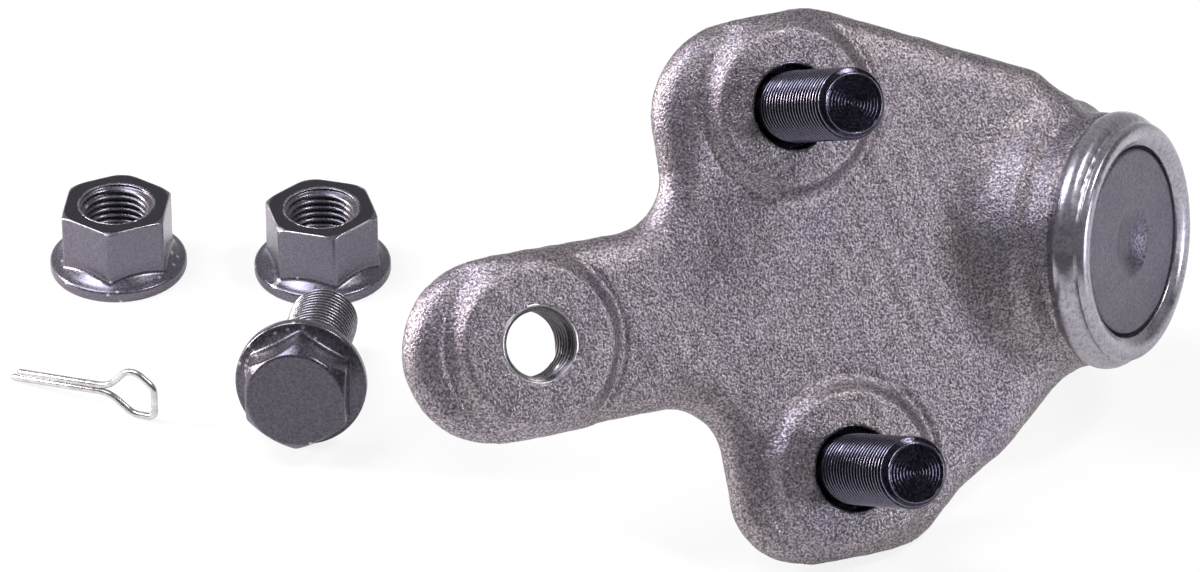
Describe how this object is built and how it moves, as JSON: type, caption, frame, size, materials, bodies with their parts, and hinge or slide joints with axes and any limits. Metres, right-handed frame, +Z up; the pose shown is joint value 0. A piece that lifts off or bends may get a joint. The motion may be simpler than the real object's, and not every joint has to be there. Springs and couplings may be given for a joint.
{
  "type": "suspension ball joint",
  "caption": "Forged plate with studs, a threaded hole and a tilted socket for a swivelling ball stud, laid out with its flange nuts, flange bolt and cotter pin.",
  "frame": {"origin": "middle of the arm's threaded hole, halfway through the plate", "axes": "+Z up, +X along the laid-out kit from the loose fasteners towards the socket, the body leaning as it lies in the picture"},
  "size_m": [0.2021, 0.1226, 0.0863],
  "materials": {
    "forging": "forged and shot-blasted, dull grey",
    "black_stud": "black phosphate",
    "black_nut": "black phosphate with worn edges",
    "cover": "dark pressed steel",
    "seat": "plain",
    "spring": "spring steel",
    "boot": "matte",
    "ring": "bright spring wire",
    "ball_steel": "machined",
    "zinc": "bright zinc"
  },
  "bodies": {
    "socket_body": {"housing": "forging", "mounting_stud_upper": "black_stud", "mounting_stud_lower": "black_stud", "ball_seat": "seat", "pressure_cup": "seat", "disc_spring": "spring", "cover_plate": "cover", "boot_ring_housing": "ring"},
    "boot": {"dust_boot": "boot"},
    "boot_neck": {"boot_ring_stud": "ring"},
    "stud": {"ball_stud": "ball_steel", "castle_nut": "zinc"},
    "nut_left": {"flange_nut_left": "black_nut"},
    "nut_right": {"flange_nut_right": "black_nut"},
    "bolt": {"flange_bolt": "black_nut"},
    "split_pin": {"cotter_pin": "zinc"}
  },
  "joints": [
    {"name": "stud_swing_along", "type": "hinge", "parent": "socket_body", "child": "boot", "pos_m": [0.08588, 0.04579, -0.00794], "axis": [0.1141, 0.5739, 0.8109], "range_deg": [-18, 18], "deforming": ["dust_boot"]},
    {"name": "stud_swing_across", "type": "hinge", "parent": "boot", "child": "boot_neck", "pos_m": [0.08588, 0.04579, -0.00794], "axis": [0.5004, 0.6719, -0.546], "range_deg": [-18, 18]},
    {"name": "stud_spin", "type": "hinge", "parent": "boot_neck", "child": "stud", "pos_m": [0.08588, 0.04579, -0.00794], "axis": [0.8582, -0.4681, 0.2105], "continuous": true},
    {"name": "nut_left_lift", "type": "slide", "parent": "socket_body", "child": "nut_left", "axis": [0, 0, 1], "range_m": [0, 0.05]},
    {"name": "nut_right_lift", "type": "slide", "parent": "socket_body", "child": "nut_right", "axis": [0, 0, 1], "range_m": [0, 0.05]},
    {"name": "bolt_lift", "type": "slide", "parent": "socket_body", "child": "bolt", "axis": [0, 0, 1], "range_m": [0, 0.05]},
    {"name": "split_pin_lift", "type": "slide", "parent": "socket_body", "child": "split_pin", "axis": [0, 0, 1], "range_m": [0, 0.05]}
  ]
}
